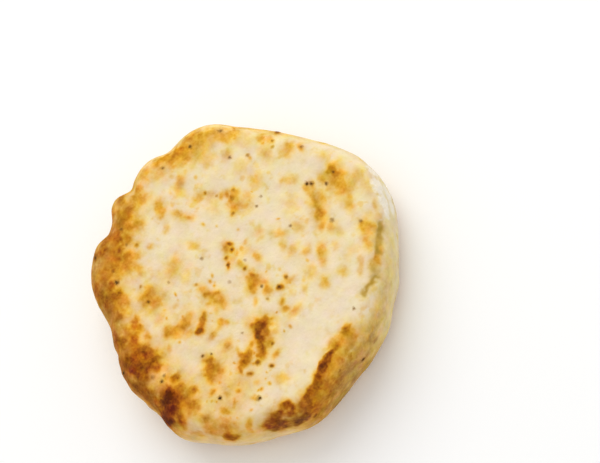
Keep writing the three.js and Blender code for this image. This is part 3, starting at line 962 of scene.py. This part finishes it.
def browned_shade(nodes, coarse, middle, rough):
    """How brown the crust looks: the toasted places over their uneven pale ground."""
    uneven = nodes.maths("ADD", rough, nodes.line(coarse, *COARSE_TOAST))
    toasted_places = nodes.product(nodes.mark("toast"), uneven)
    blotches = nodes.stepped(nodes.line(middle, BLOTCH_MIDDLE, coarse), *BLOTCH_COVER)
    slow = nodes.line(nodes.grain(*SLOW_GRAIN), *SLOW_GROUND)
    ground = nodes.line(rough, ROUGH_GROUND, nodes.maths("ADD", slow, blotches))
    ground = nodes.product(ground, nodes.line(nodes.mark("pale"), *PALE_GROUND))
    return nodes.maths("SMOOTH_MAX", toasted_places, ground, SHADE_BLEND)


def uneven_browns(nodes, shade, rough):
    """The colour of the browned crust, a little lighter, darker, redder or yellower by turns, and
    painted darker on the side turned from the lamp.
    """
    browns = nodes.mixed(
        nodes.mark("golden"), nodes.tones(shade, RIM_BROWNS), nodes.tones(shade, FACE_BROWNS)
    )
    # Painted shade on the side turned from the lamp: darker, greener and duller.
    painted_shade = nodes.mark("painted_shade")
    lighter = nodes.product(nodes.grain(*LIGHTNESS_GRAIN), nodes.line(shade, *LIGHTNESS_SPREAD))
    lighter = nodes.line(rough, -ROUGH_DARKENING, lighter)
    lighter = nodes.line(painted_shade, -PAINTED_SHADE_DARKENING, lighter)
    along_x = nodes.add("ShaderNodeSeparateXYZ", Vector=nodes.place).outputs["X"]
    hue = nodes.line(painted_shade, PAINTED_SHADE_GREENING, nodes.line(along_x, *HUE_ALONG_X))
    varied = nodes.add(
        "ShaderNodeHueSaturation",
        Color=browns,
        Value=nodes.maths("ADD", lighter, 1.0),
        Hue=nodes.line(nodes.grain(*HUE_GRAIN), HUE_SPREAD, hue),
        Saturation=nodes.line(painted_shade, -PAINTED_SHADE_DULLING, 1.0),
    )
    parts = nodes.add("ShaderNodeSeparateColor", Color=varied.outputs["Color"]).outputs
    spread = nodes.product(nodes.grain(*BUTTER_GRAIN), nodes.line(shade, *BUTTER_SPREAD))
    less_buttery = nodes.maths("MAXIMUM", nodes.maths("ADD", spread, 1.0), LEAST_BLUE)
    blue = nodes.product(parts["Blue"], less_buttery)
    joined = nodes.add("ShaderNodeCombineColor", Red=parts["Red"], Green=parts["Green"], Blue=blue)
    return joined.outputs["Color"]


def with_crease_shade_and_flour(nodes, tone, coarse):
    """The crust's colour with shade painted in the torn crease and the flour on it."""
    torn = nodes.product(nodes.mark("torn"), nodes.line(coarse, *CREASE_SHADE_PATCHES))
    # Painted shade: the crease's groove is drawn darker and duller.
    tone = nodes.mixed(nodes.stepped(torn, *CREASE_SHADE_COVER), tone, colour(*CREASE_SHADE_COLOUR))
    dust = nodes.line(nodes.grain(*DUST_GRAIN), DUSTING, nodes.mark("flour"))
    return nodes.mixed(nodes.stepped(dust, *FLOUR_COVER), tone, colour(*FLOUR_COLOUR))


def with_specks(nodes, tone, fine):
    """The crust's colour with its scorched specks: each a black core in a brown ring."""
    brown, black = (colour(*tint) for tint in SPECK_COLOURS)
    speck = nodes.line(fine, SPECK_ROUGHNESS, nodes.mark("speck"))
    dark = nodes.mark("speck_dark")
    ring = nodes.product(nodes.stepped(speck, *RING_COVER), nodes.line(dark, *RING_DARKNESS))
    core = nodes.product(nodes.stepped(speck, *CORE_COVER), nodes.stepped(dark, *BLACK_COVER))
    return nodes.mixed(core, nodes.mixed(ring, tone, brown), black)


def crust_material():
    """Griddled crust: matte, browned as the mesh's marks say, with shade painted on the side
    turned from the lamp and in the crease, and finely pitted.
    """
    material = bpy.data.materials.new("griddled_crust")
    nodes = CrustNodes(material)
    coarse, middle, fine = (
        nodes.grain(*grain) for grain in (COARSE_GRAIN, MIDDLE_GRAIN, FINE_GRAIN)
    )
    rough = nodes.line(fine, FINE_ROUGHNESS, nodes.product(middle, MIDDLE_ROUGHNESS))
    shade = browned_shade(nodes, coarse, middle, rough)
    tone = uneven_browns(nodes, shade, rough)
    tone = with_crease_shade_and_flour(nodes, tone, coarse)
    tone = with_specks(nodes, tone, fine)
    pits = nodes.add(
        "ShaderNodeBump", Strength=BUMP_STRENGTH, Distance=BUMP_DISTANCE, Height=fine
    )
    nodes.fill(nodes.shader, {
        "Base Color": tone,
        "Roughness": CRUST_ROUGHNESS,
        "Specular IOR Level": CRUST_SPECULAR,
        "Normal": pits.outputs["Normal"],
    })
    return material


# ---------------------------------------------------------------- the stage
LENS = 100.0
SENSOR_WIDTH = 36.0
NEAREST_SEEN = 0.01
CAMERA_HEIGHT = 68  # degrees above the floor
CAMERA_DISTANCE = 455 * MM
CAMERA_ROLL = 47  # degrees
AIM = Vector((-1.1, -0.9, 10.5)) * MM
VIEW_SIZE = (600, 463)
AIM_PIXEL = (245.2, 279.3)  # where the aim falls, from the view's upper left corner

FLOOR_HALF_WIDTH = 3
FLOOR_ROUGHNESS = 0.9
STUDIO_BRIGHTNESS = 0.78


def camera():
    """The camera, looking down on the muffin, with its view turned and shifted."""
    lift, roll = math.radians(CAMERA_HEIGHT), math.radians(CAMERA_ROLL)
    back = Vector((0, -math.cos(lift), math.sin(lift)))
    right, up = Vector((1, 0, 0)), Vector((0, math.sin(lift), math.cos(lift)))
    view_right = math.cos(roll) * right - math.sin(roll) * up
    view_up = math.sin(roll) * right + math.cos(roll) * up
    data = bpy.data.cameras.new("camera")
    data.lens, data.sensor_width = LENS, SENSOR_WIDTH
    data.clip_start = NEAREST_SEEN
    data.shift_x = (VIEW_SIZE[0] / 2 - AIM_PIXEL[0]) / VIEW_SIZE[0]
    data.shift_y = (AIM_PIXEL[1] - VIEW_SIZE[1] / 2) / VIEW_SIZE[0]
    made = bpy.data.objects.new("camera", data)
    turn = Matrix((view_right, view_up, back)).transposed()
    made.matrix_world = Matrix.Translation(AIM + back * CAMERA_DISTANCE) @ turn.to_4x4()
    bpy.context.scene.collection.objects.link(made)
    bpy.context.scene.camera = made


def soft_light(name, towards, distance, size, power):
    """A round lamp that faces the muffin from the side that towards points to."""
    data = bpy.data.lights.new(name, "AREA")
    data.shape, data.size, data.energy = "DISK", size, power
    made = bpy.data.objects.new(name, data)
    direction = Vector(towards).normalized()
    turn = direction.to_track_quat("Z", "Y").to_matrix().to_4x4()
    made.matrix_world = Matrix.Translation(direction * distance) @ turn
    bpy.context.scene.collection.objects.link(made)


def floor_material():
    """The floor's matte, nearly white paint."""
    material = bpy.data.materials.new("pale_floor")
    material.use_nodes = True
    shader = material.node_tree.nodes["Principled BSDF"]
    shader.inputs["Base Color"].default_value = colour(*FLOOR_COLOUR)
    shader.inputs["Roughness"].default_value = FLOOR_ROUGHNESS
    return material


def floor():
    """The wide pale floor that the muffin lies on."""
    bm = bmesh.new()
    bmesh.ops.create_grid(bm, x_segments=1, y_segments=1, size=FLOOR_HALF_WIDTH)
    mesh = bpy.data.meshes.new("floor")
    bm.to_mesh(mesh)
    bm.free()
    made = bpy.data.objects.new("floor", mesh)
    made.data.materials.append(floor_material())
    bpy.context.scene.collection.objects.link(made)
    return made


def studio_light():
    """Even white light from all round, and one soft lamp behind the muffin."""
    world = bpy.data.worlds.new("studio")
    world.use_nodes = True
    background = world.node_tree.nodes["Background"]
    background.inputs["Color"].default_value = (1, 1, 1, 1)
    background.inputs["Strength"].default_value = STUDIO_BRIGHTNESS
    bpy.context.scene.world = world
    soft_light("key", towards=(0.45, 0.8, 1.0), distance=1.2, size=1.2, power=7)


bpy.context.scene.view_settings.view_transform = "Standard"
camera()
studio_light()
floor()
muffin = muffin_piece(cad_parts["muffin"])
muffin.data.materials.append(crust_material())
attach(muffin, "root")
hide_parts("muffin")
